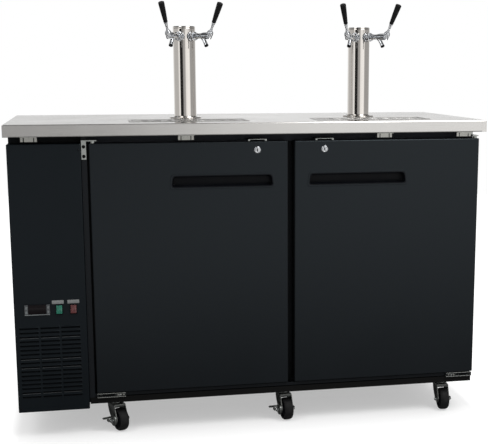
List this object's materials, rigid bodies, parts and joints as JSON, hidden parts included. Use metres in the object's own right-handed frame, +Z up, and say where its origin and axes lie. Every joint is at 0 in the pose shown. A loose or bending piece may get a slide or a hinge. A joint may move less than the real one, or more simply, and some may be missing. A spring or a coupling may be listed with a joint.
{
  "type": "kegerator",
  "caption": "Black undercounter beer cooler with hinged doors, a side machine bay, a stainless worktop and draught towers with lever taps, on swivel casters.",
  "frame": {"origin": "on the floor, below the centre of the worktop", "axes": "+X to the right along the front, +Y from the doors to the back, +Z up"},
  "size_m": [1.55, 0.66, 1.3924],
  "materials": {
    "stainless": "brushed stainless sheet",
    "brushed_column": "satin stainless tube",
    "polished": "polished chrome plate",
    "handle_plastic": "black moulded grip",
    "zinc": "zinc-plated pressed steel",
    "tyre": "black rubber tread",
    "base_paint": "dark grey painted steel",
    "black_steel": "satin black coated sheet",
    "frame_plastic": "black breaker frame",
    "insulated_white": "white liner on rigid foam",
    "gasket": "black magnetic seal",
    "grey_plastic": "grey moulded housing",
    "black_plastic": "black moulding",
    "green_lens": "translucent green rocker",
    "red_lens": "translucent dark red rocker",
    "compressor_paint": "black painted steel pot",
    "fins": "finned block and shroud",
    "air_box_plastic": "white air box"
  },
  "bodies": {
    "cabinet": {"countertop": "stainless", "left_drip_pan": "stainless", "right_drip_pan": "stainless", "left_tower_column": "brushed_column", "right_tower_column": "brushed_column", "left_tower_left_faucet": "polished", "left_tower_right_faucet": "polished", "right_tower_left_faucet": "polished", "right_tower_right_faucet": "polished", "outer_casing": "black_steel", "base_frame": "base_paint", "insulated_liner": "insulated_white", "front_frame": "frame_plastic", "grille_cover": "black_steel", "controller": "grey_plastic", "switch_block": "black_plastic", "cord_gland": "black_plastic", "top_left_hinge": "zinc", "top_right_hinge": "zinc", "bottom_left_hinge": "zinc", "bottom_right_hinge": "zinc", "compressor": "compressor_paint", "condenser": "fins", "evaporator": "air_box_plastic"},
    "left_door": {"left_door_skin": "black_steel", "left_door_panel": "insulated_white", "left_door_gasket": "gasket"},
    "right_door": {"right_door_skin": "black_steel", "right_door_panel": "insulated_white", "right_door_gasket": "gasket"},
    "left_lock_plug": {"left_lock": "polished"},
    "right_lock_plug": {"right_lock": "polished"},
    "green_rocker_switch": {"green_rocker": "green_lens"},
    "red_rocker_switch": {"red_rocker": "red_lens"},
    "left_tower_left_tap": {"left_tower_left_lever": "polished", "left_tower_left_handle": "handle_plastic"},
    "left_tower_right_tap": {"left_tower_right_lever": "polished", "left_tower_right_handle": "handle_plastic"},
    "right_tower_left_tap": {"right_tower_left_lever": "polished", "right_tower_left_handle": "handle_plastic"},
    "right_tower_right_tap": {"right_tower_right_lever": "polished", "right_tower_right_handle": "handle_plastic"},
    "front_left_fork": {"front_left_caster_fork": "zinc"},
    "front_left_wheel": {"front_left_caster_wheel": "tyre"},
    "front_left_brake": {"front_left_brake_lever": "zinc"},
    "front_middle_fork": {"front_middle_caster_fork": "zinc"},
    "front_middle_wheel": {"front_middle_caster_wheel": "tyre"},
    "front_middle_brake": {"front_middle_brake_lever": "zinc"},
    "front_right_fork": {"front_right_caster_fork": "zinc"},
    "front_right_wheel": {"front_right_caster_wheel": "tyre"},
    "rear_left_fork": {"rear_left_caster_fork": "zinc"},
    "rear_left_wheel": {"rear_left_caster_wheel": "tyre"},
    "rear_middle_fork": {"rear_middle_caster_fork": "zinc"},
    "rear_middle_wheel": {"rear_middle_caster_wheel": "tyre"},
    "rear_right_fork": {"rear_right_caster_fork": "zinc"},
    "rear_right_wheel": {"rear_right_caster_wheel": "tyre"},
    "condenser_fan_rotor": {"condenser_fan": "black_plastic"},
    "evaporator_fan_rotor": {"evaporator_fan": "black_plastic"},
    "left_grille": {"left_drip_grille": "stainless"},
    "right_grille": {"right_drip_grille": "stainless"}
  },
  "joints": [
    {"name": "left_door_hinge", "type": "hinge", "parent": "cabinet", "child": "left_door", "pos_m": [-0.5075, -0.299, 0.5465], "axis": [0, 0, -1], "range_deg": [0, 110]},
    {"name": "right_door_hinge", "type": "hinge", "parent": "cabinet", "child": "right_door", "pos_m": [0.7465, -0.299, 0.5465], "axis": [0, 0, 1], "range_deg": [0, 110]},
    {"name": "left_lock_turn", "type": "hinge", "parent": "left_door", "child": "left_lock_plug", "pos_m": [0.0095, -0.311, 0.9215], "axis": [0, 1, 0], "range_deg": [0, 90]},
    {"name": "right_lock_turn", "type": "hinge", "parent": "right_door", "child": "right_lock_plug", "pos_m": [0.2295, -0.311, 0.9215], "axis": [0, -1, 0], "range_deg": [0, 90]},
    {"name": "green_rocker_tilt", "type": "hinge", "parent": "cabinet", "child": "green_rocker_switch", "pos_m": [-0.628, -0.3103, 0.4275], "axis": [1, 0, 0], "range_deg": [0, 16]},
    {"name": "red_rocker_tilt", "type": "hinge", "parent": "cabinet", "child": "red_rocker_switch", "pos_m": [-0.584, -0.3103, 0.4275], "axis": [1, 0, 0], "range_deg": [0, 16]},
    {"name": "left_tower_left_tap_tilt", "type": "hinge", "parent": "cabinet", "child": "left_tower_left_tap", "pos_m": [-0.25224, -0.10607, 1.29719], "axis": [0.891, -0.454, 0], "range_deg": [0, 30]},
    {"name": "left_tower_right_tap_tilt", "type": "hinge", "parent": "cabinet", "child": "left_tower_right_tap", "pos_m": [-0.11094, -0.09867, 1.29719], "axis": [0.8387, 0.5446, 0], "range_deg": [0, 30]},
    {"name": "right_tower_left_tap_tilt", "type": "hinge", "parent": "cabinet", "child": "right_tower_left_tap", "pos_m": [0.35413, -0.10128, 1.29719], "axis": [0.8572, -0.515, 0], "range_deg": [0, 30]},
    {"name": "right_tower_right_tap_tilt", "type": "hinge", "parent": "cabinet", "child": "right_tower_right_tap", "pos_m": [0.4956, -0.10375, 1.29719], "axis": [0.8746, 0.4848, 0], "range_deg": [0, 30]},
    {"name": "front_left_caster_swivel", "type": "hinge", "parent": "cabinet", "child": "front_left_fork", "pos_m": [-0.458, -0.237, 0.1], "axis": [0, 0, 1], "continuous": true},
    {"name": "front_left_wheel_spin", "type": "hinge", "parent": "front_left_fork", "child": "front_left_wheel", "pos_m": [-0.44628, -0.26461, 0.0375], "axis": [0.9205, 0.3907, 0], "continuous": true},
    {"name": "front_left_brake_tilt", "type": "hinge", "parent": "front_left_fork", "child": "front_left_brake", "pos_m": [-0.44628, -0.26461, 0.0375], "axis": [0.9205, 0.3907, 0], "range_deg": [0, 25]},
    {"name": "front_middle_caster_swivel", "type": "hinge", "parent": "cabinet", "child": "front_middle_fork", "pos_m": [0.10625, -0.237, 0.1], "axis": [0, 0, 1], "continuous": true},
    {"name": "front_middle_wheel_spin", "type": "hinge", "parent": "front_middle_fork", "child": "front_middle_wheel", "pos_m": [0.11042, -0.26671, 0.0375], "axis": [0.9903, 0.1392, 0], "continuous": true},
    {"name": "front_middle_brake_tilt", "type": "hinge", "parent": "front_middle_fork", "child": "front_middle_brake", "pos_m": [0.11042, -0.26671, 0.0375], "axis": [0.9903, 0.1392, 0], "range_deg": [0, 25]},
    {"name": "front_right_caster_swivel", "type": "hinge", "parent": "cabinet", "child": "front_right_fork", "pos_m": [0.6705, -0.237, 0.1], "axis": [0, 0, 1], "continuous": true},
    {"name": "front_right_wheel_spin", "type": "hinge", "parent": "front_right_fork", "child": "front_right_wheel", "pos_m": [0.66893, -0.26696, 0.0375], "axis": [0.9986, -0.0523, 0], "continuous": true},
    {"name": "rear_left_caster_swivel", "type": "hinge", "parent": "cabinet", "child": "rear_left_fork", "pos_m": [-0.458, 0.237, 0.1], "axis": [0, 0, 1], "continuous": true},
    {"name": "rear_left_wheel_spin", "type": "hinge", "parent": "rear_left_fork", "child": "rear_left_wheel", "pos_m": [-0.45176, 0.20766, 0.0375], "axis": [0.9781, 0.2079, 0], "continuous": true},
    {"name": "rear_middle_caster_swivel", "type": "hinge", "parent": "cabinet", "child": "rear_middle_fork", "pos_m": [0.10625, 0.237, 0.1], "axis": [0, 0, 1], "continuous": true},
    {"name": "rear_middle_wheel_spin", "type": "hinge", "parent": "rear_middle_fork", "child": "rear_middle_wheel", "pos_m": [0.10311, 0.20716, 0.0375], "axis": [0.9945, -0.1045, 0], "continuous": true},
    {"name": "rear_right_caster_swivel", "type": "hinge", "parent": "cabinet", "child": "rear_right_fork", "pos_m": [0.6705, 0.237, 0.1], "axis": [0, 0, 1], "continuous": true},
    {"name": "rear_right_wheel_spin", "type": "hinge", "parent": "rear_right_fork", "child": "rear_right_wheel", "pos_m": [0.67468, 0.20729, 0.0375], "axis": [0.9903, 0.1392, 0], "continuous": true},
    {"name": "condenser_fan_spin", "type": "hinge", "parent": "cabinet", "child": "condenser_fan_rotor", "pos_m": [-0.6534, -0.1583, 0.213], "axis": [0, -1, 0], "continuous": true},
    {"name": "evaporator_fan_spin", "type": "hinge", "parent": "cabinet", "child": "evaporator_fan_rotor", "pos_m": [-0.4349, 0.0129, 0.7887], "axis": [1, 0, 0], "continuous": true},
    {"name": "left_grille_lift", "type": "slide", "parent": "cabinet", "child": "left_grille", "axis": [0, 0, 1], "range_m": [0, 0.04]},
    {"name": "right_grille_lift", "type": "slide", "parent": "cabinet", "child": "right_grille", "axis": [0, 0, 1], "range_m": [0, 0.04]}
  ]
}
